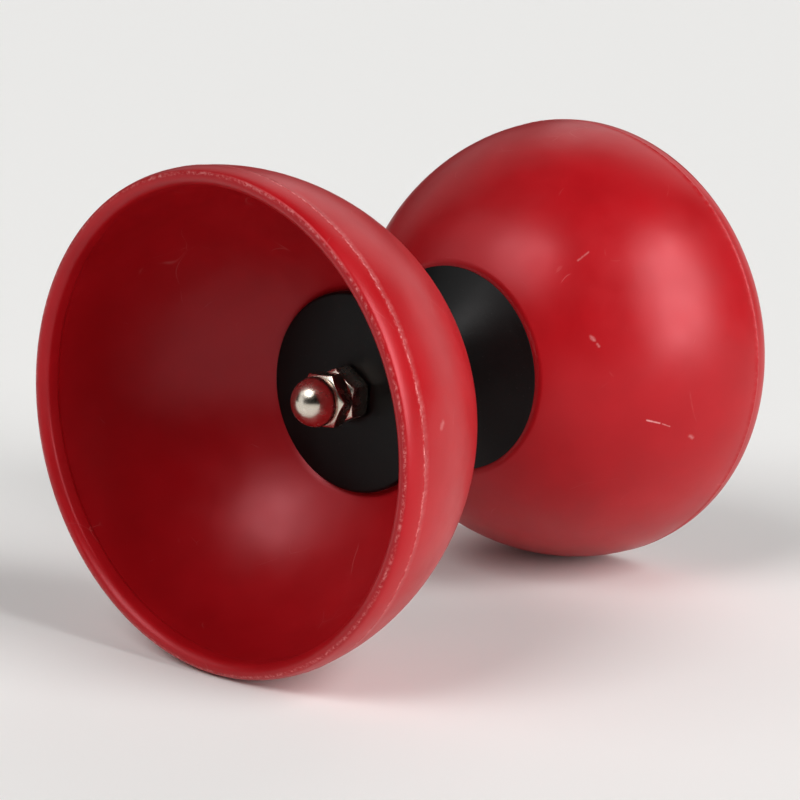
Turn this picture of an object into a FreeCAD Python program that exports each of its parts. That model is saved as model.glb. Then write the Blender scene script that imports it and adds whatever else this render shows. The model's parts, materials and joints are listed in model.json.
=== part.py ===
"""Bearing diabolo: two rubber cups on plastic hubs, clamped on a stepped axle by
double nuts, with a string sleeve that turns on two ball bearings and a roller clutch.

Frame: origin at the centre of the axle, +X along the spin axis, +Z up.
Millimetres. Every "right" piece lies at +X, and its "left" twin is its mirror image.
"""
import FreeCAD, Part
import math
import os

Vector = FreeCAD.Vector
SPIN_AXIS = Vector(1, 0, 0)
ORIGIN = Vector(0, 0, 0)

# ---- driving dimensions -------------------------------------------------------------
half_length = 75.0          # from the centre of the axle to the rim face
rim_radius = 61.0           # outer side of the bead where it turns into the rim face
bulge_radius = 61.5         # widest ring of the cup, at the moulding line

hub_edge_x = 16.9           # where the cone's surface runs into the cup's
hub_edge_radius = 27.3
cap_radius = 25.7           # black disc inside the cup
cap_face_x = 24.5

thread_radius = 4.0         # M8
nut_across_flats = 13.0
jam_nut_height = 6.5
acorn_hex_height = 4.6
acorn_height = 12.2

race_radius = 5.0           # middle of the axle, which the clutch rollers run on
bearing_bore_radius = 4.0   # 688 size ball bearing
bearing_outer_radius = 8.0
bearing_width = 5.0
bearing_inner_x = 6.5       # the bearing's face nearer the middle
sleeve_half_length = 12.0
sleeve_waist_radius = 8.4
sleeve_end_radius = 10.5
sleeve_collar_x = 7.9       # the end collar's plain part starts here
sleeve_track_x = 2.6        # half-width of the straight string track
sleeve_track_ease = 2.2     # length of the curve's pole at the track end
sleeve_collar_ease = 1.9    # and at the collar end
sleeve_edge = 0.3           # chamfer of the collar
sleeve_lead_in = 0.2        # chamfer at the bearing seat's mouth

# ---- cup ----------------------------------------------------------------------------
bead_length = 5.8           # rim bead, from the rim face back to the moulding line
seam_depth = 0.22           # fine groove at the moulding line
seam_width = 0.5
seam_step = 0.04            # the bowl is this much lower than the bead at the groove
bead_bow = 0.08             # how far the bead's outer side swells
corner_round = 0.9          # rounding of the rim face's outer corner
land_width = 1.2            # flat ring of the rim face, which the diabolo stands on
lip_drop = 1.6              # how far the lip's inner edge sits behind the rim face
lip_bow = 0.3               # swell of the lip between the flat ring and its inner edge
lip_inner_radius = 57.2
lip_draft = 0.15            # the lip opens towards the mouth by this much
inner_step_x = 70.0         # the bead ends inside the cup in a small step
inner_step = 0.3
web_outer_x = 18.3          # the cup's middle web, clamped between cone and cap
web_inner_x = 21.6
web_hole_radius = 14.0
web_edge_drop = 0.6         # the web's outer face starts this far inside the cone's edge
web_gap = 0.2               # between the cap's edge and the start of the bowl
outer_poles = [(26.8, 49.4), (52.1, 61.2)]      # shape of the bowl's outside, hub to rim
inner_poles = [(55.8, 58.0), (33.2, 49.6)]      # shape of its inside, rim to hub

# ---- hub cone -----------------------------------------------------------------------
nose_x = 8.0                # end of the cone next to the string
nose_radius = 12.0
nose_round = 0.5
recess_radius = 11.0        # the sleeve's end turns in this recess
recess_floor_x = 13.0
cone_bow = 0.35             # how far the cone's side is hollowed from a straight line
boss_gap = 0.05             # between the cone's boss and the hole in the web
bolt_gap = 0.1              # between the axle and the hub pieces it passes through
cap_edge_round = 0.9
cap_crown = 0.5             # the cap's middle stands this much proud of its edge
cap_flat_margin = 2.5       # the flat seat under the nut is this much wider than the nut
cap_crown_length = 10.0     # how far out the crown keeps nearly flat

# ---- bearing ------------------------------------------------------------------------
ball_count = 9
ball_radius = 1.19
pitch_radius = 6.0
race_gap = 0.03             # between a ball and its race
inner_ring_radius = 4.95
outer_ring_bore = 7.05
shield_thickness = 0.25
shield_recess = 0.15
shield_bore = 5.15
cage_inner_radius = 5.5
cage_outer_radius = 6.5
cage_back = 1.8             # the cage reaches this far from the balls' middle on its closed side
cage_front = 0.6            # and this far on its open side

# ---- clutch -------------------------------------------------------------------------
clutch_half_length = 6.0
clutch_outer_radius = 7.0
clutch_shell_bore = 6.66
clutch_lip_bore = 5.35
clutch_lip_thickness = 0.5
roller_count = 8
roller_radius = 0.79
roller_pitch_radius = 5.83
roller_length = 8.0
clutch_cage_inner = 5.25
clutch_cage_outer = 6.45
clutch_cage_half_length = 5.4
pocket_clearance = 0.06

# ---- spacer and axle ----------------------------------------------------------------
spacer_neck_radius = 4.9
spacer_flange_radius = 7.5
spacer_flange_x = 12.3
axle_end_x = 39.5
axle_chamfer = 0.6
blind_bore_x = 39.9
dome_radius = 6.3
dome_neck_radius = 6.0
dome_neck_length = 0.5
nut_chamfer_angle = 30
nut_flat_share = 0.96       # the nut's end face, as a share of its width across flats

# Turn of each nut about the axle, in degrees: a nut stops where it is tight.
jam_turn = {"right": 12.0, "left": 35.0}
acorn_turn = {"right": 35.0, "left": 58.0}


# ---- outlines in the (x, radius) half-plane -------------------------------------------
def point(x, radius):
    return Vector(x, radius, 0)


def line(start, end):
    return Part.makeLine(point(*start), point(*end))


def arc(start, middle, end):
    return Part.Arc(point(*start), point(*middle), point(*end)).toShape()


def curve(*poles):
    bezier = Part.BezierCurve()
    bezier.setPoles([point(*pole) for pole in poles])
    return bezier.toShape()


def polyline(*corners):
    return [line(start, end) for start, end in zip(corners, corners[1:])]


def turned(edges):
    """Solid made by turning a closed outline round the spin axis."""
    face = Part.Face(Part.Wire(edges))
    solid = face.revolve(ORIGIN, SPIN_AXIS, 360)
    if solid.Volume < 0:
        solid.reverse()
    return solid


def ring(x_low, x_high, inner_radius, outer_radius):
    corners = [
        (x_low, inner_radius),
        (x_low, outer_radius),
        (x_high, outer_radius),
        (x_high, inner_radius),
        (x_low, inner_radius),
    ]
    return turned(polyline(*corners))


def around(count, radius, x):
    """Centres of count pieces spaced evenly on a circle round the spin axis."""
    step = 2 * math.pi / count
    return [Vector(x, radius * math.cos(i * step), radius * math.sin(i * step)) for i in range(count)]


# ---- cup, cone and cap ----------------------------------------------------------------
def make_cup():
    seam_x = half_length - bead_length
    land_outer = (half_length, rim_radius - corner_round)
    land_inner = (half_length, land_outer[1] - land_width)
    lip_edge = (half_length - lip_drop, lip_inner_radius)
    lip_middle = (
        (half_length + lip_edge[0]) / 2 + lip_bow,
        (land_inner[1] + lip_edge[1]) / 2 - lip_bow,
    )
    seam_front = (seam_x + seam_width / 2, bulge_radius)
    seam_bottom = (seam_x, bulge_radius - seam_depth)
    seam_back = (seam_x - seam_width / 2, bulge_radius - seam_step)
    bead_middle = (half_length - bead_length / 2, bulge_radius + bead_bow)
    bead_corner = (half_length - corner_round, rim_radius)
    rim_corner = (half_length, rim_radius)
    hub_edge = (hub_edge_x, hub_edge_radius)
    bead_end = (inner_step_x + inner_step, lip_inner_radius - lip_draft)
    wall_top = (inner_step_x - inner_step, lip_inner_radius + inner_step - lip_draft)
    web_edge = (web_inner_x, cap_radius + web_gap)
    outline = [
        curve(hub_edge, *outer_poles, seam_back),
        line(seam_back, seam_bottom),
        line(seam_bottom, seam_front),
        arc(seam_front, bead_middle, bead_corner),
        curve(bead_corner, rim_corner, land_outer),
        line(land_outer, land_inner),
        arc(land_inner, lip_middle, lip_edge),
        line(lip_edge, bead_end),
        line(bead_end, wall_top),
        curve(wall_top, *inner_poles, web_edge),
    ]
    outline += polyline(
        web_edge,
        (web_inner_x, web_hole_radius),
        (web_outer_x, web_hole_radius),
        (web_outer_x, hub_edge_radius - web_edge_drop),
        hub_edge,
    )
    return turned(outline)


def make_hub_cone():
    hub_edge = (hub_edge_x, hub_edge_radius)
    nose_outer = (nose_x + nose_round / 2, nose_radius + nose_round)
    nose_tip = (nose_x, nose_radius)
    nose_pole = (nose_x, nose_radius + nose_round / 2)
    middle_x = (nose_outer[0] + hub_edge_x) / 2 + cone_bow
    middle_radius = (nose_outer[1] + hub_edge_radius) / 2 - cone_bow
    boss_radius = web_hole_radius - boss_gap
    bore_radius = thread_radius + bolt_gap
    outline = [
        curve(nose_outer, (middle_x, middle_radius), hub_edge),
    ]
    outline += polyline(
        hub_edge,
        (web_outer_x, hub_edge_radius - web_edge_drop),
        (web_outer_x, boss_radius),
        (web_inner_x, boss_radius),
        (web_inner_x, bore_radius),
        (recess_floor_x, bore_radius),
        (recess_floor_x, recess_radius),
        (nose_x, recess_radius),
        nose_tip,
    )
    outline.append(curve(nose_tip, nose_pole, nose_outer))
    return turned(outline)


def make_hub_cap():
    edge_x = cap_face_x - cap_crown
    side_end = (edge_x - cap_edge_round, cap_radius)
    face_edge = (edge_x, cap_radius - cap_edge_round)
    flat_edge = (cap_face_x, nut_across_flats / 2 + cap_flat_margin)
    bore_radius = thread_radius + bolt_gap
    outline = polyline(
        flat_edge,
        (cap_face_x, bore_radius),
        (web_inner_x, bore_radius),
        (web_inner_x, cap_radius),
        side_end,
    )
    outline.append(curve(side_end, (edge_x, cap_radius), face_edge))
    outline.append(curve(face_edge, (cap_face_x, flat_edge[1] + cap_crown_length), flat_edge))
    return turned(outline)


# ---- axle, nuts and spacer --------------------------------------------------------------
def make_axle():
    half = [
        (axle_end_x, 0),
        (axle_end_x, thread_radius - axle_chamfer),
        (axle_end_x - axle_chamfer, thread_radius),
        (bearing_inner_x, thread_radius),
        (bearing_inner_x, race_radius),
    ]
    other_half = [(-x, radius) for x, radius in reversed(half)]
    return turned(polyline(*half, *other_half, half[0]))


def hexagon_bar(x_low, height, turn):
    corner_radius = nut_across_flats / math.sqrt(3)
    angles = [math.radians(turn + 60 * i) for i in range(7)]
    corners = [Vector(x_low, corner_radius * math.cos(a), corner_radius * math.sin(a)) for a in angles]
    return Part.Face(Part.makePolygon(corners)).extrude(Vector(height, 0, 0))


def nut_blank(x_low, height):
    """Turned blank that takes the corners off both ends of a hexagon bar."""
    flat_radius = nut_flat_share * nut_across_flats / 2
    corner_radius = nut_across_flats / math.sqrt(3)
    slope = (corner_radius - flat_radius) * math.tan(math.radians(nut_chamfer_angle))
    x_high = x_low + height
    corners = [
        (x_low, 0),
        (x_low, flat_radius),
        (x_low + slope, corner_radius),
        (x_high - slope, corner_radius),
        (x_high, flat_radius),
        (x_high, 0),
        (x_low, 0),
    ]
    return turned(polyline(*corners))


def chamfered_hexagon(x_low, height, turn):
    return hexagon_bar(x_low, height, turn).common(nut_blank(x_low, height))


def bored(solid, x_low, x_high):
    return solid.cut(Part.makeCylinder(thread_radius, x_high - x_low, Vector(x_low, 0, 0), SPIN_AXIS))


def make_jam_nut(turn):
    hexagon = chamfered_hexagon(cap_face_x, jam_nut_height, turn)
    return bored(hexagon, cap_face_x, cap_face_x + jam_nut_height)


def make_dome(hex_top_x, centre_x):
    """Turned dome of the acorn nut, on a short neck that starts inside the hexagon."""
    tip = (centre_x + dome_radius, 0)
    shoulder_reach = dome_radius / math.sqrt(2)
    shoulder = (centre_x + shoulder_reach, shoulder_reach)
    root_x = hex_top_x - 2 * dome_neck_length
    outline = [arc((centre_x, dome_radius), shoulder, tip)]
    outline += polyline(
        tip,
        (root_x, 0),
        (root_x, dome_neck_radius),
        (hex_top_x, dome_neck_radius),
        (hex_top_x + dome_neck_length, dome_radius),
        (centre_x, dome_radius),
    )
    return turned(outline)


def make_acorn_nut(turn):
    seat_x = cap_face_x + jam_nut_height
    dome = make_dome(seat_x + acorn_hex_height, seat_x + acorn_height - dome_radius)
    nut = chamfered_hexagon(seat_x, acorn_hex_height, turn).fuse(dome)
    return bored(nut, seat_x, blind_bore_x).removeSplitter()


def make_spacer():
    bearing_outer_x = bearing_inner_x + bearing_width
    corners = [
        (bearing_outer_x, bearing_bore_radius),
        (bearing_outer_x, spacer_neck_radius),
        (spacer_flange_x, spacer_neck_radius),
        (spacer_flange_x, spacer_flange_radius),
        (recess_floor_x, spacer_flange_radius),
        (recess_floor_x, bearing_bore_radius),
        (bearing_outer_x, bearing_bore_radius),
    ]
    return turned(polyline(*corners))


# ---- string sleeve ----------------------------------------------------------------------
def sleeve_flank(side):
    """Curve from the string track up to the end collar, at the right (side 1) or the left (side -1)."""
    return curve(
        (side * sleeve_track_x, sleeve_waist_radius),
        (side * (sleeve_track_x + sleeve_track_ease), sleeve_waist_radius),
        (side * (sleeve_collar_x - sleeve_collar_ease), sleeve_end_radius),
        (side * sleeve_collar_x, sleeve_end_radius),
    )


def make_axle_sleeve():
    end = sleeve_half_length
    bearing_outer_x = bearing_inner_x + bearing_width
    track = line((-sleeve_track_x, sleeve_waist_radius), (sleeve_track_x, sleeve_waist_radius))
    right_end = [
        (sleeve_collar_x, sleeve_end_radius),
        (end - sleeve_edge, sleeve_end_radius),
        (end, sleeve_end_radius - sleeve_edge),
        (end, bearing_outer_radius + sleeve_lead_in),
        (bearing_outer_x, bearing_outer_radius),
        (bearing_inner_x, bearing_outer_radius),
        (bearing_inner_x, clutch_outer_radius),
    ]
    left_end = [(-x, radius) for x, radius in reversed(right_end)]
    outline = [track, sleeve_flank(1)]
    outline += polyline(*right_end, *left_end)
    outline.append(sleeve_flank(-1))
    return turned(outline)


# ---- ball bearing -----------------------------------------------------------------------
def bearing_middle_x():
    return bearing_inner_x + bearing_width / 2


def race_groove():
    """Torus-shaped space that the balls run in, a little wider than the balls."""
    groove_radius = ball_radius + race_gap
    return Part.makeTorus(
        pitch_radius, groove_radius, Vector(bearing_middle_x(), 0, 0), SPIN_AXIS
    )


def make_inner_ring():
    blank = ring(bearing_inner_x, bearing_inner_x + bearing_width, bearing_bore_radius, inner_ring_radius)
    return blank.cut(race_groove())


def make_outer_ring():
    blank = ring(bearing_inner_x, bearing_inner_x + bearing_width, outer_ring_bore, bearing_outer_radius)
    return blank.cut(race_groove())


def make_balls():
    centres = around(ball_count, pitch_radius, bearing_middle_x())
    return Part.makeCompound([Part.makeSphere(ball_radius, centre) for centre in centres])


def make_ball_cage():
    """Crown cage: a ring with a round pocket for each ball, open on one side."""
    middle = bearing_middle_x()
    cage = ring(middle - cage_back, middle + cage_front, cage_inner_radius, cage_outer_radius)
    depth = cage_outer_radius
    for centre in around(ball_count, pitch_radius, middle):
        outwards = Vector(0, centre.y, centre.z).normalize()
        start = Vector(middle, 0, 0) + outwards * (pitch_radius - depth / 2)
        cage = cage.cut(Part.makeCylinder(ball_radius + pocket_clearance, depth, start, outwards))
    return cage


def make_shields():
    low = bearing_inner_x + shield_recess
    high = bearing_inner_x + bearing_width - shield_recess - shield_thickness
    return Part.makeCompound([
        ring(low, low + shield_thickness, shield_bore, outer_ring_bore),
        ring(high, high + shield_thickness, shield_bore, outer_ring_bore),
    ])


# ---- one-way roller clutch ----------------------------------------------------------------
def make_clutch_shell():
    end = clutch_half_length
    lip_x = end - clutch_lip_thickness
    corners = [
        (-end, clutch_lip_bore),
        (-end, clutch_outer_radius),
        (end, clutch_outer_radius),
        (end, clutch_lip_bore),
        (lip_x, clutch_lip_bore),
        (lip_x, clutch_shell_bore),
        (-lip_x, clutch_shell_bore),
        (-lip_x, clutch_lip_bore),
        (-end, clutch_lip_bore),
    ]
    return turned(polyline(*corners))


def make_clutch_rollers():
    starts = around(roller_count, roller_pitch_radius, -roller_length / 2)
    rollers = [Part.makeCylinder(roller_radius, roller_length, start, SPIN_AXIS) for start in starts]
    return Part.makeCompound(rollers)


def make_clutch_cage():
    cage = ring(-clutch_cage_half_length, clutch_cage_half_length, clutch_cage_inner, clutch_cage_outer)
    pocket_length = roller_length + 2 * pocket_clearance
    for start in around(roller_count, roller_pitch_radius, -pocket_length / 2):
        pocket = Part.makeCylinder(roller_radius + pocket_clearance, pocket_length, start, SPIN_AXIS)
        cage = cage.cut(pocket)
    return cage


# ---- assembly -----------------------------------------------------------------------------
def mirrored(shape):
    return shape.mirror(ORIGIN, SPIN_AXIS)


def twin(name, right_shape):
    """A right-hand piece and its mirror image at the left."""
    return {name + "_right": right_shape, name + "_left": mirrored(right_shape)}


def all_pieces():
    pieces = {}
    pieces.update(twin("cup", make_cup()))
    pieces.update(twin("hub_cone", make_hub_cone()))
    pieces.update(twin("hub_cap", make_hub_cap()))
    pieces["jam_nut_right"] = make_jam_nut(jam_turn["right"])
    pieces["jam_nut_left"] = mirrored(make_jam_nut(jam_turn["left"]))
    pieces["acorn_nut_right"] = make_acorn_nut(acorn_turn["right"])
    pieces["acorn_nut_left"] = mirrored(make_acorn_nut(acorn_turn["left"]))
    pieces.update(twin("spacer", make_spacer()))
    pieces.update(twin("bearing_inner_ring", make_inner_ring()))
    pieces.update(twin("bearing_outer_ring", make_outer_ring()))
    pieces.update(twin("bearing_balls", make_balls()))
    pieces.update(twin("ball_cage", make_ball_cage()))
    pieces.update(twin("bearing_shields", make_shields()))
    pieces["axle"] = make_axle()
    pieces["axle_sleeve"] = make_axle_sleeve()
    pieces["clutch_shell"] = make_clutch_shell()
    pieces["clutch_rollers"] = make_clutch_rollers()
    pieces["clutch_cage"] = make_clutch_cage()
    return pieces


def main():
    os.makedirs("parts", exist_ok=True)
    for name, shape in all_pieces().items():
        shape.exportStep("parts/" + name + ".step")
        solids = len(shape.Solids)
        print(f"{name:24s} solids {solids:2d}  volume {shape.Volume:10.2f} mm3  valid {shape.isValid()}")


main()
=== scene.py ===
"""Looks of a bearing diabolo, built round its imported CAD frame. Metres, +X along the spin axis."""
import json
import math

import bpy
import bmesh
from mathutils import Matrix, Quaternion, Vector


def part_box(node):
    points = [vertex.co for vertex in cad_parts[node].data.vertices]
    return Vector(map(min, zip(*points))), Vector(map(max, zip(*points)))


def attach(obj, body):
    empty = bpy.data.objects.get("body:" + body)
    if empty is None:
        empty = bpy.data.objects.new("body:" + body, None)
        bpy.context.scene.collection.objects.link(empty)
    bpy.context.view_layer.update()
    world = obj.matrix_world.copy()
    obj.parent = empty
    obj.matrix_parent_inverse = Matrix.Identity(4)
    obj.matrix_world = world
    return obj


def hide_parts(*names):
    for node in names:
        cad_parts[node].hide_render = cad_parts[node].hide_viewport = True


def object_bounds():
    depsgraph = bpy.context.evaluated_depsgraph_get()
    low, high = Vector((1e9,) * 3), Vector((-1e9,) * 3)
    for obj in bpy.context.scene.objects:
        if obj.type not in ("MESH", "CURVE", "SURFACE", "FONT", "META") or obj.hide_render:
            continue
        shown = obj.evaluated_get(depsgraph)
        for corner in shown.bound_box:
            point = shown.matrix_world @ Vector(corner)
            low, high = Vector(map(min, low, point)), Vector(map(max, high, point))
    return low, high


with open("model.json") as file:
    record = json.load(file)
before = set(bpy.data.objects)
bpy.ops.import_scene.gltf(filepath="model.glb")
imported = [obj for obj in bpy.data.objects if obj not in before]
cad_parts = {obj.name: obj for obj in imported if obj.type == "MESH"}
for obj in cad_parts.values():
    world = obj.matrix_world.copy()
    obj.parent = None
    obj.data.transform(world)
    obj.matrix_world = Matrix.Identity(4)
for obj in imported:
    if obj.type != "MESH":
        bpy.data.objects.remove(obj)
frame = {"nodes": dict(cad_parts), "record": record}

cad_low, cad_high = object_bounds()
MM = 0.001
merge_distance = 0.0005 * MM

# ---- sizes taken from the frame -------------------------------------------------------
half_length = cad_high.x
hub_edge_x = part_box("cup_right")[0].x
hub_edge_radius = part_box("hub_cone_right")[1].z
nose_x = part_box("hub_cone_right")[0].x
cap_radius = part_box("hub_cap_right")[1].z
cap_back_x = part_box("hub_cap_right")[0].x
cap_face_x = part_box("hub_cap_right")[1].x
acorn_seat_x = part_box("acorn_nut_right")[0].x
acorn_tip_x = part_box("acorn_nut_right")[1].x
sleeve_end_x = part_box("axle_sleeve")[1].x
sleeve_end_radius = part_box("axle_sleeve")[1].z
floor_z = cad_low.z

# ---- hidden faces of the hub and the fits round the axle, in millimetres ----------------
web_outer_x = 18.3          # the cup's middle web is clamped between these two faces
web_inner_x = 21.6
web_hole = 14.0
web_edge = 26.7             # the web's outer face ends here, just inside the cone's edge
axle_hole = 4.1
recess_x = 13.0             # the sleeve's end turns in this recess of the cone
recess = 11.0


# ---- outlines in the (x, radius) half-plane, in millimetres -----------------------------
def bezier(poles, count):
    """Points along a Bezier curve of three or four poles, both ends included."""
    order = len(poles) - 1
    points = []
    for i in range(count + 1):
        t = i / count
        weights = [math.comb(order, k) * t ** k * (1 - t) ** (order - k) for k in range(order + 1)]
        x = sum(w * pole[0] for w, pole in zip(weights, poles))
        radius = sum(w * pole[1] for w, pole in zip(weights, poles))
        points.append((x, radius))
    return points


def towards(start, end, distance):
    length = math.dist(start, end)
    share = distance / length
    return (start[0] + (end[0] - start[0]) * share, start[1] + (end[1] - start[1]) * share)


def softened(corners, edge, steps=3):
    """Closed outline of straight sides whose corners are rounded by about edge."""
    points = []
    count = len(corners)
    for i, corner in enumerate(corners):
        before = corners[i - 1]
        after = corners[(i + 1) % count]
        start = towards(corner, before, edge)
        end = towards(corner, after, edge)
        points += bezier([start, corner, end], steps)
    return points + [points[0]]


# ---- outside of a cup ---------------------------------------------------------------------
rim_x = half_length / MM
ridge_x = rim_x - 5.3
ridge = (ridge_x, 61.6)                     # worn ridge behind the rim's bead
face_edge = (rim_x - 0.15, 60.1)            # outer edge of the rim's face
hub_edge = (hub_edge_x / MM, hub_edge_radius / MM)
bowl_end = (ridge_x - 0.3, 61.43)
bowl = bezier([hub_edge, (26.8, 49.4), (52.1, 61.2), bowl_end], 34)


def on_cup(side, x, degrees):
    """The point of a cup's outside at x, and at an angle round the axis."""
    for (x0, radius0), (x1, radius1) in zip(bowl, bowl[1:]):
        if x0 <= x <= x1:
            radius = radius0 + (radius1 - radius0) * (x - x0) / (x1 - x0)
    turn = math.radians(degrees)
    return Vector((side * x, radius * math.cos(turn), radius * math.sin(turn))) * MM


# ---- node trees -------------------------------------------------------------------------
def add(tree, kind, inputs=None, **settings):
    """Adds a node with its settings, and sets or links its inputs."""
    node = tree.nodes.new(kind)
    for name, value in settings.items():
        setattr(node, name, value)
    for name, value in (inputs or {}).items():
        socket = node.inputs[name]
        if isinstance(value, bpy.types.NodeSocket):
            tree.links.new(value, socket)
        else:
            socket.default_value = value
    return node


def linear(hex_colour):
    """An sRGB hex colour as linear red, green, blue and alpha."""
    parts = [int(hex_colour[i:i + 2], 16) / 255 for i in (1, 3, 5)]
    return tuple(p / 12.92 if p <= 0.04045 else ((p + 0.055) / 1.055) ** 2.4 for p in parts) + (1.0,)


def new_material(name):
    material = bpy.data.materials.new(name)
    material.use_nodes = True
    tree = material.node_tree
    tree.nodes.clear()
    shader = add(tree, "ShaderNodeBsdfPrincipled")
    add(tree, "ShaderNodeOutputMaterial", {"Surface": shader.outputs["BSDF"]})
    place = add(tree, "ShaderNodeTexCoord").outputs["Object"]
    return material, tree, shader, place


# Scuffs on the outside of the cups: side, both ends (x in millimetres, degrees round the axis),
# half width in millimetres, strength.
scuffs = [
    (1, (36.4, 192.0), (39.6, 192.7), 0.3, 0.8),
    (1, (40.3, 192.9), (42.3, 193.6), 0.25, 0.4),
    (1, (48.6, 196.4), (49.5, 196.8), 0.7, 0.3),
    (1, (25.5, 163.0), (25.8, 164.2), 0.7, 0.35),
    (1, (26.3, 166.0), (26.5, 166.8), 0.5, 0.3),
    (1, (31.6, 135.5), (28.9, 136.1), 0.35, 0.25),
    (-1, (61.6, 172.5), (62.6, 173.4), 0.9, 0.25),
]


def scuff(tree, place, side, first, last, half_width, strength):
    """A pale scuff round a short straight stroke, broken up along its edges."""
    start = on_cup(side, *first)
    run = on_cup(side, *last) - start
    off = add(tree, "ShaderNodeVectorMath", {0: place, 1: start}, operation="SUBTRACT").outputs[0]
    along = add(tree, "ShaderNodeVectorMath", {0: off, 1: run}, operation="DOT_PRODUCT").outputs["Value"]
    share = add(tree, "ShaderNodeMapRange", {"Value": along, "From Max": run.length_squared}).outputs[0]
    nearest = add(tree, "ShaderNodeVectorMath", {0: run, "Scale": share}, operation="SCALE").outputs[0]
    away = add(tree, "ShaderNodeVectorMath", {0: off, 1: nearest}, operation="DISTANCE").outputs["Value"]
    rough_edge = add(tree, "ShaderNodeTexNoise", {"Vector": place, "Scale": 1 / (0.6 * MM), "Detail": 2.0})
    wander = add(tree, "ShaderNodeMath", {0: rough_edge.outputs["Fac"], 1: half_width * MM},
                 operation="MULTIPLY")
    ragged = add(tree, "ShaderNodeMath", {0: away, 1: wander.outputs[0]}, operation="ADD").outputs[0]
    return add(tree, "ShaderNodeMapRange", {"Value": ragged, "From Min": 0.4 * half_width * MM,
                                            "From Max": 1.5 * half_width * MM, "To Min": strength,
                                            "To Max": 0.0}).outputs[0]


def hairlines(tree, place):
    """Hairline scratches: the walls of large bent cells, kept only here and there."""
    bent = add(tree, "ShaderNodeTexNoise", {"Vector": place, "Scale": 1 / (22 * MM), "Detail": 1.0})
    drift = add(tree, "ShaderNodeVectorMath", {0: bent.outputs["Color"], 1: (30 * MM,) * 3},
                operation="MULTIPLY")
    path = add(tree, "ShaderNodeVectorMath", {0: place, 1: drift.outputs[0]}, operation="ADD")
    cells = add(tree, "ShaderNodeTexVoronoi", {"Vector": path.outputs[0], "Scale": 1 / (16 * MM)},
                feature="DISTANCE_TO_EDGE")
    line = add(tree, "ShaderNodeMapRange", {"Value": cells.outputs["Distance"], "From Min": 0.002,
                                            "From Max": 0.011, "To Min": 1.0, "To Max": 0.0})
    where = add(tree, "ShaderNodeTexNoise", {"Vector": place, "Scale": 1 / (11 * MM), "Detail": 2.0})
    kept = add(tree, "ShaderNodeMapRange", {"Value": where.outputs["Fac"], "From Min": 0.6,
                                            "From Max": 0.68})
    return add(tree, "ShaderNodeMath", {0: line.outputs[0], 1: kept.outputs[0]},
               operation="MULTIPLY").outputs[0]


def knocked_and_highlit_rim(tree, place):
    """Chalky knocks where the mesh's own attribute says that the rim is worn, lightened and widened so that
    they also paint the highlight lines along the ridge and the rim's face edge.
    """
    nick = add(tree, "ShaderNodeAttribute", attribute_name="nick")
    grit = add(tree, "ShaderNodeTexNoise", {"Vector": place, "Scale": 1 / (0.5 * MM), "Detail": 3.0})
    broken = add(tree, "ShaderNodeMapRange", {"Value": grit.outputs["Fac"], "From Min": 0.36,
                                              "From Max": 0.56})
    return add(tree, "ShaderNodeMath", {0: nick.outputs["Fac"], 1: broken.outputs[0]},
               operation="MULTIPLY").outputs[0]


def rubber_relief(tree, place, scratch):
    """The mould's grain, a slight unevenness, and the scratches cut into it."""
    # The grain is about 0.1 mm; drawn at 0.45 mm, which still shows.
    grain = add(tree, "ShaderNodeTexNoise", {"Vector": place, "Scale": 1 / (0.45 * MM), "Detail": 2.0})
    bump = add(tree, "ShaderNodeBump", {"Height": grain.outputs["Fac"], "Distance": 0.012 * MM})
    ripple = add(tree, "ShaderNodeTexNoise", {"Vector": place, "Scale": 1 / (17 * MM), "Detail": 1.0})
    wavy = add(tree, "ShaderNodeBump", {"Height": ripple.outputs["Fac"], "Distance": 0.25 * MM,
                                        "Normal": bump.outputs["Normal"]})
    cut = add(tree, "ShaderNodeBump", {"Height": scratch, "Distance": 0.01 * MM,
                                       "Normal": wavy.outputs["Normal"]}, invert=True)
    return cut.outputs["Normal"]


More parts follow.
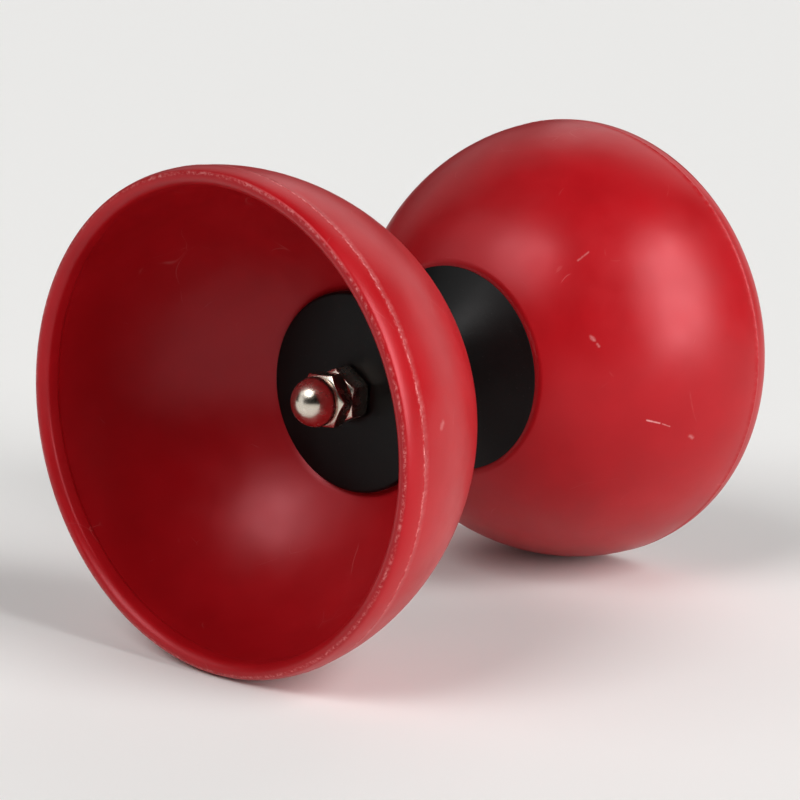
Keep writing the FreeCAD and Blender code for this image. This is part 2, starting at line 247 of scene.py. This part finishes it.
def moulded_rubber():
    """Compression-moulded red rubber: satin, slightly mottled, chalky where the rim is knocked, with painted
    highlight lines along the rim.
    """
    material, tree, shader, place = new_material("moulded_red_rubber")
    mottle = add(tree, "ShaderNodeTexNoise", {"Vector": place, "Scale": 1 / (14 * MM), "Detail": 4.0})
    colour = add(tree, "ShaderNodeValToRGB", {"Fac": mottle.outputs["Fac"]})
    colour.color_ramp.elements[0].position = 0.3
    colour.color_ramp.elements[0].color = linear("#a00e15")
    colour.color_ramp.elements[1].position = 0.7
    colour.color_ramp.elements[1].color = linear("#ab1119")

    scratch = hairlines(tree, place)
    marks = add(tree, "ShaderNodeMath", {0: scratch, 1: 0.1}, operation="MULTIPLY").outputs[0]
    for details in scuffs:
        mark = scuff(tree, place, *details)
        marks = add(tree, "ShaderNodeMath", {0: marks, 1: mark}, operation="MAXIMUM").outputs[0]
    scratched = add(tree, "ShaderNodeMix", {"Factor": marks, "A": colour.outputs["Color"],
                                            "B": linear("#f0b0ae")}, data_type="RGBA")
    # Pale bands on the rim: partly real knocks, partly a painted highlight along the ridge and the face edge.
    chalk_and_highlight = knocked_and_highlit_rim(tree, place)
    worn = add(tree, "ShaderNodeMix", {"Factor": chalk_and_highlight, "A": scratched.outputs["Result"],
                                       "B": linear("#eb9a98")}, data_type="RGBA")
    tree.links.new(worn.outputs["Result"], shader.inputs["Base Color"])

    rub = add(tree, "ShaderNodeTexNoise", {"Vector": place, "Scale": 1 / (9 * MM), "Detail": 5.0})
    sheen = add(tree, "ShaderNodeMapRange", {"Value": rub.outputs["Fac"], "From Min": 0.3, "From Max": 0.7,
                                             "To Min": 0.3, "To Max": 0.38})
    rough = add(tree, "ShaderNodeMix", {"Factor": chalk_and_highlight, "A": sheen.outputs[0], "B": 0.8}, data_type="FLOAT")
    tree.links.new(rough.outputs["Result"], shader.inputs["Roughness"])
    tree.links.new(rubber_relief(tree, place, scratch), shader.inputs["Normal"])
    # The pigment lies close under the skin, so the shine is pink and not white.
    shader.inputs["Specular IOR Level"].default_value = 0.65
    shader.inputs["Specular Tint"].default_value = (1.0, 0.36, 0.40, 1.0)
    return material


def satin_plastic():
    """Injection-moulded black ABS: satin skin with a fine spark-eroded grain and a little dust."""
    material, tree, shader, place = new_material("satin_black_plastic")
    patch = add(tree, "ShaderNodeTexNoise", {"Vector": place, "Scale": 1 / (10 * MM), "Detail": 4.0})
    colour = add(tree, "ShaderNodeValToRGB", {"Fac": patch.outputs["Fac"]})
    colour.color_ramp.elements[0].position = 0.3
    colour.color_ramp.elements[0].color = linear("#050404")
    colour.color_ramp.elements[1].position = 0.75
    colour.color_ramp.elements[1].color = linear("#080707")
    specks = add(tree, "ShaderNodeTexVoronoi", {"Vector": place, "Scale": 1 / (1.6 * MM)})
    dust = add(tree, "ShaderNodeMapRange", {"Value": specks.outputs["Distance"], "From Min": 0.06,
                                            "From Max": 0.11, "To Min": 0.1, "To Max": 0.0})
    dusty = add(tree, "ShaderNodeMix", {"Factor": dust.outputs[0], "A": colour.outputs["Color"],
                                        "B": linear("#6a6460")}, data_type="RGBA")
    tree.links.new(dusty.outputs["Result"], shader.inputs["Base Color"])
    gloss = add(tree, "ShaderNodeMapRange", {"Value": patch.outputs["Fac"], "From Min": 0.3, "From Max": 0.7,
                                             "To Min": 0.32, "To Max": 0.42})
    tree.links.new(gloss.outputs[0], shader.inputs["Roughness"])
    grain = add(tree, "ShaderNodeTexNoise", {"Vector": place, "Scale": 1 / (0.35 * MM), "Detail": 3.0})
    bump = add(tree, "ShaderNodeBump", {"Height": grain.outputs["Fac"], "Distance": 0.02 * MM})
    tree.links.new(bump.outputs["Normal"], shader.inputs["Normal"])
    shader.inputs["Specular IOR Level"].default_value = 0.17
    return material


def nickel_plate():
    """Bright nickel plate on steel nuts: warm mirror with fine handling marks."""
    material, tree, shader, place = new_material("nickel_plate")
    cloud = add(tree, "ShaderNodeTexNoise", {"Vector": place, "Scale": 1 / (2.5 * MM), "Detail": 4.0})
    colour = add(tree, "ShaderNodeValToRGB", {"Fac": cloud.outputs["Fac"]})
    colour.color_ramp.elements[0].position = 0.3
    colour.color_ramp.elements[0].color = linear("#cfc4b4")
    colour.color_ramp.elements[1].position = 0.7
    colour.color_ramp.elements[1].color = linear("#e2d9cc")
    tree.links.new(colour.outputs["Color"], shader.inputs["Base Color"])
    haze = add(tree, "ShaderNodeMapRange", {"Value": cloud.outputs["Fac"], "From Min": 0.3, "From Max": 0.7,
                                            "To Min": 0.2, "To Max": 0.3})
    tree.links.new(haze.outputs[0], shader.inputs["Roughness"])
    marks = add(tree, "ShaderNodeTexNoise", {"Vector": place, "Scale": 1 / (0.3 * MM), "Detail": 3.0})
    bump = add(tree, "ShaderNodeBump", {"Height": marks.outputs["Fac"], "Distance": 0.006 * MM})
    tree.links.new(bump.outputs["Normal"], shader.inputs["Normal"])
    shader.inputs["Metallic"].default_value = 1.0
    return material


def turned_steel(name, light, dark, pitch, depth, roughness):
    """Steel off the lathe: fine rings round the axis, which draw the light out along it."""
    material, tree, shader, place = new_material(name)
    rings = add(tree, "ShaderNodeTexWave", {"Vector": place, "Scale": 0.314 / pitch, "Distortion": 0.6,
                                            "Detail": 2.0}, wave_type="BANDS", bands_direction="X")
    cloud = add(tree, "ShaderNodeTexNoise", {"Vector": place, "Scale": 1 / (2 * MM), "Detail": 3.0})
    colour = add(tree, "ShaderNodeMix", {"Factor": cloud.outputs["Fac"], "A": linear(dark),
                                         "B": linear(light)}, data_type="RGBA")
    tree.links.new(colour.outputs["Result"], shader.inputs["Base Color"])
    haze = add(tree, "ShaderNodeMapRange", {"Value": cloud.outputs["Fac"], "From Min": 0.3, "From Max": 0.7,
                                            "To Min": roughness * 0.8, "To Max": roughness * 1.25})
    tree.links.new(haze.outputs[0], shader.inputs["Roughness"])
    bump = add(tree, "ShaderNodeBump", {"Height": rings.outputs["Fac"], "Distance": depth})
    tree.links.new(bump.outputs["Normal"], shader.inputs["Normal"])
    shader.inputs["Metallic"].default_value = 1.0
    return material


def natural_nylon():
    """Uncoloured moulded nylon: milky, waxy, a little uneven."""
    material, tree, shader, place = new_material("natural_nylon")
    cloud = add(tree, "ShaderNodeTexNoise", {"Vector": place, "Scale": 1 / (1.5 * MM), "Detail": 3.0})
    colour = add(tree, "ShaderNodeMix", {"Factor": cloud.outputs["Fac"], "A": linear("#c9bfa6"),
                                         "B": linear("#e4dcc8")}, data_type="RGBA")
    tree.links.new(colour.outputs["Result"], shader.inputs["Base Color"])
    gloss = add(tree, "ShaderNodeMapRange", {"Value": cloud.outputs["Fac"], "To Min": 0.35, "To Max": 0.55})
    tree.links.new(gloss.outputs[0], shader.inputs["Roughness"])
    grain = add(tree, "ShaderNodeTexNoise", {"Vector": place, "Scale": 1 / (0.2 * MM)})
    bump = add(tree, "ShaderNodeBump", {"Height": grain.outputs["Fac"], "Distance": 0.01 * MM})
    tree.links.new(bump.outputs["Normal"], shader.inputs["Normal"])
    return material


rubber = moulded_rubber()
plastic = satin_plastic()
nickel = nickel_plate()
sleeve_steel = turned_steel("polished_sleeve_steel", "#d4d3d0", "#bdbcb9", 0.35 * MM, 0.012 * MM, 0.22)
axle_steel = turned_steel("turned_axle_steel", "#c6c5c2", "#a9a8a5", 0.3 * MM, 0.015 * MM, 0.32)
bearing_steel = turned_steel("ground_bearing_steel", "#cfd0d2", "#b4b6b8", 0.2 * MM, 0.004 * MM, 0.18)
nylon = natural_nylon()


# ---- turned pieces: an outline carried round the spin axis ----------------------------------
def turning_tree():
    """Carries an outline round the X axis, and dents it where its points are marked as worn."""
    tree = bpy.data.node_groups.new("outline turned round the axis", "GeometryNodeTree")
    sockets = [
        ("Outline", "NodeSocketGeometry"),
        ("Segments", "NodeSocketInt"),
        ("Nick depth", "NodeSocketFloat"),
        ("Nick spacing", "NodeSocketFloat"),
        ("Seed", "NodeSocketFloat"),
        ("Material", "NodeSocketMaterial"),
    ]
    for name, kind in sockets:
        tree.interface.new_socket(name, in_out="INPUT", socket_type=kind)
    tree.interface.new_socket("Piece", in_out="OUTPUT", socket_type="NodeSocketGeometry")
    given = add(tree, "NodeGroupInput").outputs

    rows = add(tree, "GeometryNodeAttributeDomainSize", {"Geometry": given["Outline"]})
    columns = add(tree, "FunctionNodeIntegerMath", {0: given["Segments"], 1: 1}, operation="ADD").outputs[0]
    sheet = add(tree, "GeometryNodeMeshGrid", {"Vertices X": rows.outputs["Point Count"],
                                               "Vertices Y": columns})
    index = add(tree, "GeometryNodeInputIndex").outputs[0]
    row = add(tree, "FunctionNodeIntegerMath", {0: index, 1: columns}, operation="DIVIDE").outputs[0]
    column = add(tree, "FunctionNodeIntegerMath", {0: index, 1: columns}, operation="MODULO").outputs[0]

    place = add(tree, "GeometryNodeInputPosition").outputs[0]
    at = add(tree, "GeometryNodeSampleIndex", {"Geometry": given["Outline"], "Value": place, "Index": row},
             data_type="FLOAT_VECTOR")
    marked = add(tree, "GeometryNodeInputNamedAttribute", {"Name": "wear"}, data_type="FLOAT")
    wear = add(tree, "GeometryNodeSampleIndex", {"Geometry": given["Outline"], "Value": marked.outputs[0],
                                                 "Index": row}, data_type="FLOAT")
    step = add(tree, "ShaderNodeMath", {0: math.tau, 1: given["Segments"]}, operation="DIVIDE")
    turn = add(tree, "ShaderNodeMath", {0: column, 1: step.outputs[0]}, operation="MULTIPLY")
    carried = add(tree, "ShaderNodeVectorRotate", {"Vector": at.outputs[0], "Angle": turn.outputs[0]},
                  rotation_type="X_AXIS")
    kept = add(tree, "GeometryNodeStoreNamedAttribute", {"Geometry": sheet.outputs["Mesh"], "Name": "wear",
                                                         "Value": wear.outputs[0]}, data_type="FLOAT")
    shaped = add(tree, "GeometryNodeSetPosition", {"Geometry": kept.outputs[0],
                                                   "Position": carried.outputs[0]})
    closed = add(tree, "GeometryNodeMergeByDistance", {"Geometry": shaped.outputs[0],
                                                       "Distance": merge_distance})

    fineness = add(tree, "ShaderNodeMath", {0: 1.0, 1: given["Nick spacing"]}, operation="DIVIDE")
    chance = add(tree, "ShaderNodeTexNoise", {"Vector": place, "W": given["Seed"],
                                              "Scale": fineness.outputs[0], "Detail": 3.0},
                 noise_dimensions="4D")
    hit = add(tree, "ShaderNodeMapRange", {"Value": chance.outputs["Fac"], "From Min": 0.42,
                                           "From Max": 0.66})
    nick = add(tree, "ShaderNodeMath", {0: marked.outputs[0], 1: hit.outputs[0]}, operation="MULTIPLY")
    noted = add(tree, "GeometryNodeStoreNamedAttribute", {"Geometry": closed.outputs[0], "Name": "nick",
                                                          "Value": nick.outputs[0]}, data_type="FLOAT")
    depth = add(tree, "ShaderNodeMath", {0: nick.outputs[0], 1: given["Nick depth"]}, operation="MULTIPLY")
    inwards = add(tree, "ShaderNodeVectorMath", {0: add(tree, "GeometryNodeInputNormal").outputs[0],
                                                 "Scale": depth.outputs[0]}, operation="SCALE")
    dented = add(tree, "GeometryNodeSetPosition", {"Geometry": noted.outputs[0],
                                                   "Offset": inwards.outputs[0]})
    smooth = add(tree, "GeometryNodeSetShadeSmooth", {"Geometry": dented.outputs[0]})
    real = add(tree, "GeometryNodeRealizeInstances", {"Geometry": smooth.outputs[0]})
    finished = add(tree, "GeometryNodeSetMaterial", {"Geometry": real.outputs[0],
                                                     "Material": given["Material"]})
    add(tree, "NodeGroupOutput", {"Piece": finished.outputs[0]})
    return tree


turning = turning_tree()


def set_inputs(modifier, **values):
    for item in modifier.node_group.interface.items_tree:
        if item.item_type == "SOCKET" and item.in_out == "INPUT" and item.name in values:
            modifier[item.identifier] = values[item.name]


def made_plain(piece):
    """Turns the piece's modifiers into plain mesh."""
    scene_now = bpy.context.evaluated_depsgraph_get()
    piece.data = bpy.data.meshes.new_from_object(piece.evaluated_get(scene_now))
    piece.modifiers.clear()
    return piece


def facing_outwards(piece):
    shell = bmesh.new()
    shell.from_mesh(piece.data)
    bmesh.ops.recalc_face_normals(shell, faces=shell.faces)
    if shell.calc_volume(signed=True) < 0:
        bmesh.ops.reverse_faces(shell, faces=shell.faces)
    shell.to_mesh(piece.data)
    shell.free()
    return piece


def linked_object(name, mesh):
    piece = bpy.data.objects.new(name, mesh)
    bpy.context.scene.collection.objects.link(piece)
    return piece


def turned(name, outline, side, material, segments, worn=None, nick_depth=0.0, seed=0.0):
    """A turned piece at the right (side 1) or left (side -1) from an outline in millimetres."""
    mesh = bpy.data.meshes.new(name + "_outline")
    mesh.from_pydata([(side * x * MM, 0, radius * MM) for x, radius in outline], [], [])
    marks = mesh.attributes.new("wear", "FLOAT", "POINT")
    marks.data.foreach_set("value", [worn(x, radius) if worn else 0.0 for x, radius in outline])
    piece = linked_object(name, mesh)
    modifier = piece.modifiers.new("turning", "NODES")
    modifier.node_group = turning
    set_inputs(modifier, **{"Segments": segments, "Nick depth": side * nick_depth * MM,
                            "Nick spacing": 0.8 * MM, "Seed": seed, "Material": material})
    return facing_outwards(made_plain(piece))


# ---- cup ------------------------------------------------------------------------------------
def cup_outline():
    web_x = cap_back_x / MM
    points = list(bowl)
    points += bezier([towards(ridge, bowl_end, 0.15), ridge, (ridge_x + 0.25, 61.54)], 4)
    bead = [(ridge_x + 0.5, 61.5), (rim_x - 2.9, 61.5), (rim_x - 0.95, 61.1), (rim_x - 0.4, 60.6)]
    points += bezier(bead, 14)
    points += bezier([(rim_x - 0.32, 60.5), (rim_x, 60.1), (rim_x, 59.5)], 7)
    points += bezier([(rim_x, 59.2), (rim_x, 58.6), (rim_x - 0.55, 57.9), (rim_x - 1.25, 57.45)], 7)
    points += bezier([(rim_x - 1.4, 57.36), (rim_x - 1.7, 57.2), (rim_x - 2.1, 57.15)], 4)
    points += [(rim_x - 3.2, 57.1)]
    points += bezier([(rim_x - 4.3, 57.06), (rim_x - 4.6, 57.05), (rim_x - 4.8, 57.18)], 3)
    points += bezier([(rim_x - 5.05, 57.36), (rim_x - 5.2, 57.5), (rim_x - 5.6, 57.52)], 3)
    points += bezier([(rim_x - 6.2, 57.53), (55.4, 58.0), (33.2, 49.6), (web_x + 0.15, 25.95)], 30)
    web = [(web_x, cap_radius / MM), (web_x, web_hole), (web_outer_x, web_hole), (web_outer_x, web_edge)]
    points += softened(web, 0.1, 2)[:-1]
    points.append(hub_edge)
    return points


def rim_wear_and_highlight(share):
    """Wear along the outline, which also places the rim's painted highlight lines: most on the ridge behind
    the bead, less on the rim's face edge.
    """
    def at(x, radius):
        at_ridge = 1.1 - math.dist((x, radius), ridge) / 0.5
        at_face = 0.75 - math.dist((x, radius), face_edge) / 0.8
        return share * min(1.0, max(0.0, at_ridge, at_face))
    return at


# The wear share also sets how strong the painted highlight lines on the rim are.
def make_cup(name, side, wear_and_highlight_share, seed):
    cup = turned(name, cup_outline(), side, rubber, 720, rim_wear_and_highlight(wear_and_highlight_share), nick_depth=0.07, seed=seed)
    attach(cup, "cups_and_axle")
    return cup


for side_name, side, wear_and_highlight_share, seed in (("left", -1, 1.0, 3.1), ("right", 1, 0.3, 8.7)):
    cup = make_cup("rubber_cup_" + side_name, side, wear_and_highlight_share, seed)
    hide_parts("cup_" + side_name)


# ---- hub cone and cap -------------------------------------------------------------------------
def cone_outline():
    edge = hub_edge
    nose = nose_x / MM
    points = bezier([(nose, 12.0), (nose, 12.4), (nose + 0.3, 12.5)], 4)
    hollow = (12.9, 19.5)
    points += bezier([(nose + 0.45, 12.75), hollow, towards(edge, hollow, 0.2)], 20)
    points += bezier([towards(edge, hollow, 0.12), edge, (edge[0] + 0.25, edge[1] - 0.12)], 3)
    points += [(web_outer_x, web_edge), (web_outer_x, web_hole), (web_inner_x, web_hole)]
    points += [(web_inner_x, axle_hole), (recess_x, axle_hole), (recess_x, recess)]
    points += bezier([(nose + 0.3, recess), (nose, recess), (nose, recess + 0.3)], 3)
    return points + [points[0]]


def cap_outline():
    back = cap_back_x / MM
    face = cap_face_x / MM
    edge = cap_radius / MM
    points = [(back, axle_hole), (back, edge - 0.1), (back + 0.1, edge), (face - 1.5, edge)]
    points += bezier([(face - 1.4, edge), (face - 0.55, edge), (face - 0.5, edge - 0.9)], 7)
    points += bezier([(face - 0.46, edge - 1.5), (face, 19.0), (face, 9.2)], 14)
    points += [(face, 9.0), (face, axle_hole + 0.2), (face - 0.2, axle_hole)]
    return points + [points[0]]


for side_name, side in (("left", -1), ("right", 1)):
    cone = turned("plastic_cone_" + side_name, cone_outline(), side, plastic, 256)
    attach(cone, "cups_and_axle")
    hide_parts("hub_cone_" + side_name)
    cap = turned("plastic_cap_" + side_name, cap_outline(), side, plastic, 256)
    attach(cap, "cups_and_axle")
    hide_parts("hub_cap_" + side_name)


# ---- nuts ---------------------------------------------------------------------------------------
flat_distance = 6.5         # from the axis to a flat: 13 mm nuts
corner_round = 0.35
chamfer_radius = 6.25
chamfer_slope = math.tan(math.radians(30))


def hexagon_angles():
    """Angles round the nut, close together at the corners."""
    corner = [math.radians(a) for a in (-4.0, -2.4, -1.2, 0.0, 1.2, 2.4, 4.0)]
    flat = [math.radians(a) for a in range(8, 54, 4)]
    angles = []
    for side in range(6):
        base = side * math.pi / 3
        angles += [base + a for a in corner + flat]
    return angles


def hexagon_radius(angle):
    """Distance from the axis to a hexagon with rounded corners; a corner is at angle 0."""
    off_corner = (angle + math.pi / 6) % (math.pi / 3) - math.pi / 6
    inner = (flat_distance - corner_round) / math.cos(math.pi / 6)
    bend = corner_round ** 2 - (inner * math.sin(off_corner)) ** 2
    flat = flat_distance / math.cos(math.pi / 6 - abs(off_corner))
    if bend <= 0:
        return flat
    return min(flat, inner * math.cos(off_corner) + math.sqrt(bend))


def ring_mesh(name, rows, angles, side, turn, material):
    """A closed mesh from rows of points; each row gives (x, radius) for an angle."""
    verts = []
    for row in rows:
        for angle in angles:
            x, radius = row(angle)
            a = angle + math.radians(turn)
            verts.append((side * x * MM, radius * math.cos(a) * MM, radius * math.sin(a) * MM))
    count = len(angles)
    faces = []
    for i in range(len(rows) - 1):
        for j in range(count):
            k = (j + 1) % count
            faces.append((i * count + j, i * count + k, (i + 1) * count + k, (i + 1) * count + j))
    mesh = bpy.data.meshes.new(name)
    mesh.from_pydata(verts, [], faces)
    shell = bmesh.new()
    shell.from_mesh(mesh)
    bmesh.ops.remove_doubles(shell, verts=shell.verts, dist=merge_distance)
    shell.to_mesh(mesh)
    shell.free()
    mesh.shade_smooth()
    mesh.materials.append(material)
    return facing_outwards(linked_object(name, mesh))


def round_row(x, radius):
    return lambda angle: (x, radius)


def edge_rows(x_face, inwards, soft=0.07):
    """Rows over a hexagon's end: face circle, 30 degree chamfer, its curved crossing with the flats."""
    def crossing(angle):
        radius = hexagon_radius(angle)
        return x_face + inwards * max(0.0, radius - chamfer_radius) * chamfer_slope, radius

    def on_chamfer(angle):
        x, radius = crossing(angle)
        share = soft / max(soft, radius - chamfer_radius)
        return x + (x_face - x) * share, radius + (chamfer_radius - radius) * share

    def rounded(angle):
        x, radius = crossing(angle)
        return x + inwards * soft * 0.25, radius - soft * 0.2

    def on_flat(angle):
        x, radius = crossing(angle)
        return x + inwards * soft, radius

    return [
        round_row(x_face, chamfer_radius - 0.1),
        round_row(x_face + inwards * 0.02, chamfer_radius),
        on_chamfer,
        rounded,
        on_flat,
    ]


def thread_mouth(x_face, inwards, bore=4.0):
    return [round_row(x_face + inwards * 0.5, bore), round_row(x_face, bore + 0.4)]


def make_jam_nut(name, side, turn):
    seat, top = cap_face_x / MM, acorn_seat_x / MM
    rows = thread_mouth(seat, 1) + edge_rows(seat, 1)
    rows += edge_rows(top, -1)[::-1] + thread_mouth(top, -1)[::-1]
    rows.append(rows[0])
    return ring_mesh(name, rows, hexagon_angles(), side, turn, nickel)


def make_acorn_nut(name, side, turn):
    seat, tip = acorn_seat_x / MM, acorn_tip_x / MM
    top = seat + 4.6
    dome = 6.3
    middle = tip - dome
    rows = [round_row(35.0, 0.0), round_row(35.0, 4.0)]
    rows += thread_mouth(seat, 1) + edge_rows(seat, 1) + edge_rows(top, -1)[:0:-1]
    rows += [round_row(top, 6.2), round_row(top - 0.02, 6.12)]
    neck = bezier([(top, 6.05), (top + 0.15, 5.95), (top + 0.35, 6.0), (top + 0.75, 6.24)], 6)
    rows += [round_row(x, radius) for x, radius in neck]
    rows += [round_row(middle, dome)]
    steps = 28
    for i in range(1, steps + 1):
        a = math.pi / 2 * i / steps
        rows.append(round_row(middle + dome * math.sin(a), dome * math.cos(a) if i < steps else 0.0))
    return ring_mesh(name, rows, hexagon_angles(), side, turn, nickel)


for side_name, side, jam_turn, acorn_turn in (("left", -1, 35, 58), ("right", 1, 12, 35)):
    jam = make_jam_nut("nickel_jam_nut_" + side_name, side, jam_turn)
    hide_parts("jam_nut_" + side_name)
    acorn = make_acorn_nut("nickel_acorn_nut_" + side_name, side, acorn_turn)
    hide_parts("acorn_nut_" + side_name)
    for nut in (jam, acorn):
        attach(nut, "cups_and_axle")


# ---- string sleeve ------------------------------------------------------------------------------
def sleeve_outline():
    end = sleeve_end_x / MM
    collar = sleeve_end_radius / MM
    waist = 8.4
    half = [(x, waist) for x in (0.0, 0.9, 1.8)]
    half += bezier([(2.6, waist), (4.8, waist), (6.0, collar), (7.9, collar)], 16)
    half += [(end - 0.45, collar)]
    half += bezier([(end - 0.3, collar), (end, collar), (end, collar - 0.3)], 4)
    half += [(end, 8.25), (end - 0.2, 8.05), (11.5, 8.0), (6.5, 8.0), (6.5, 7.0), (0.0, 7.0)]
    other = [(-x, radius) for x, radius in reversed(half)]
    return half + other


sleeve = turned("steel_sleeve", sleeve_outline(), 1, sleeve_steel, 192)
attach(sleeve, "string_sleeve")
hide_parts("axle_sleeve")


# ---- CAD pieces that stay, hidden inside the hub -----------------------------------------------
finish_of = {"axle_steel": axle_steel, "bearing_steel": bearing_steel, "cage_nylon": nylon}
slot_of = {part["node"]: part["material_slot"] for part in frame["record"]["subparts"]}
for node_name, node in frame["nodes"].items():
    material = finish_of.get(slot_of[node_name])
    if material:
        node.data.materials.clear()
        node.data.materials.append(material)


# ---- floor, light and camera ----------------------------------------------------------------------
def make_floor():
    size = 30.0
    mesh = bpy.data.meshes.new("floor")
    corners = [(x * size, y * size, floor_z) for x, y in ((-1, -1), (1, -1), (1, 1), (-1, 1))]
    mesh.from_pydata(corners, [], [(0, 1, 2, 3)])
    material, tree, shader, place = new_material("matt_paper")
    shader.inputs["Base Color"].default_value = linear("#f4f3f1")
    shader.inputs["Roughness"].default_value = 0.9
    mesh.materials.append(material)
    floor = linked_object("floor", mesh)


azimuth = math.radians(-50.17)
elevation = math.radians(12.39)
view_right = Vector((math.cos(azimuth), math.sin(azimuth), 0))
view_back = Vector((math.sin(azimuth) * math.cos(elevation), -math.cos(azimuth) * math.cos(elevation),
                    math.sin(elevation)))
view_up = view_back.cross(view_right)


def make_camera():
    rim_radius = 61 * MM
    data = bpy.data.cameras.new("camera")
    data.sensor_width = 36
    data.lens = 105.73
    camera = linked_object("camera", data)
    camera.rotation_mode = "QUATERNION"
    camera.rotation_quaternion = view_back.to_track_quat("Z", "Y")
    camera.location = rim_radius * (9.9708 * view_back - 0.0473 * view_right - 0.0925 * view_up)
    bpy.context.scene.camera = camera


# Each softbox: its direction from the camera's side (right, up, back), half width and half height
# in degrees, lean in degrees, and the light it throws on a surface that faces it.
softboxes = [
    ("key", (0.76, 0.27, 0.59), 13, 29, -8, 4.1),
    ("inside fill", (-0.45, 0.62, 0.62), 14, 14, 0, 1.3),
    ("left wall", (-0.93, 0.14, 0.34), 14, 14, 0, 0.2),
    ("left upper", (-0.74, 0.62, 0.20), 14, 14, 0, 0.25),
    ("back upper right", (0.30, 0.75, -0.60), 20, 20, 0, 0.4),
    ("back upper left", (-0.35, 0.70, -0.62), 20, 20, 0, 0.15),
    ("back right", (0.70, 0.20, -0.68), 16, 16, 0, 0.3),
]


def softbox(tree, ray, direction, half_width, half_height, lean, light):
    """Radiance, along a ray, of a soft-edged bright panel a long way off."""
    right, up, back = direction
    facing = (right * view_right + up * view_up + back * view_back).normalized()
    across = Vector((0, 0, 1)).cross(facing).normalized()
    across.rotate(Quaternion(facing, math.radians(lean)))
    upwards = facing.cross(across)
    depth = add(tree, "ShaderNodeVectorMath", {0: ray, 1: facing}, operation="DOT_PRODUCT").outputs["Value"]
    inside = add(tree, "ShaderNodeMath", {0: depth, 1: 0.0}, operation="GREATER_THAN").outputs[0]
    for axis, half in ((across, half_width), (upwards, half_height)):
        reach = math.tan(math.radians(half))
        along = add(tree, "ShaderNodeVectorMath", {0: ray, 1: axis}, operation="DOT_PRODUCT")
        flat = add(tree, "ShaderNodeMath", {0: along.outputs["Value"], 1: depth}, operation="DIVIDE")
        away = add(tree, "ShaderNodeMath", {0: flat.outputs[0]}, operation="ABSOLUTE")
        edge = add(tree, "ShaderNodeMapRange", {"Value": away.outputs[0], "From Min": 0.85 * reach,
                                                "From Max": 1.15 * reach, "To Min": 1.0, "To Max": 0.0},
                   interpolation_type="SMOOTHSTEP")
        inside = add(tree, "ShaderNodeMath", {0: inside, 1: edge.outputs[0]}, operation="MULTIPLY").outputs[0]
    radiance = light / (4 * math.radians(half_width) * math.radians(half_height))
    return add(tree, "ShaderNodeMath", {0: inside, 1: radiance}, operation="MULTIPLY").outputs[0]


def make_world():
    world = bpy.data.worlds.new("studio")
    world.use_nodes = True
    tree = world.node_tree
    tree.nodes.clear()
    ray = add(tree, "ShaderNodeTexCoord").outputs["Generated"]
    total = 0.0
    for name, *numbers in softboxes:
        panel = softbox(tree, ray, *numbers)
        panel.node.label = name
        total = add(tree, "ShaderNodeMath", {0: total, 1: panel}, operation="ADD").outputs[0]
    background = add(tree, "ShaderNodeBackground", {"Strength": total})
    background.inputs["Color"].default_value = (1.0, 1.0, 1.0, 1.0)
    add(tree, "ShaderNodeOutputWorld", {"Surface": background.outputs[0]})
    bpy.context.scene.world = world


make_floor()
make_camera()
make_world()
bpy.context.scene.view_settings.view_transform = "Standard"
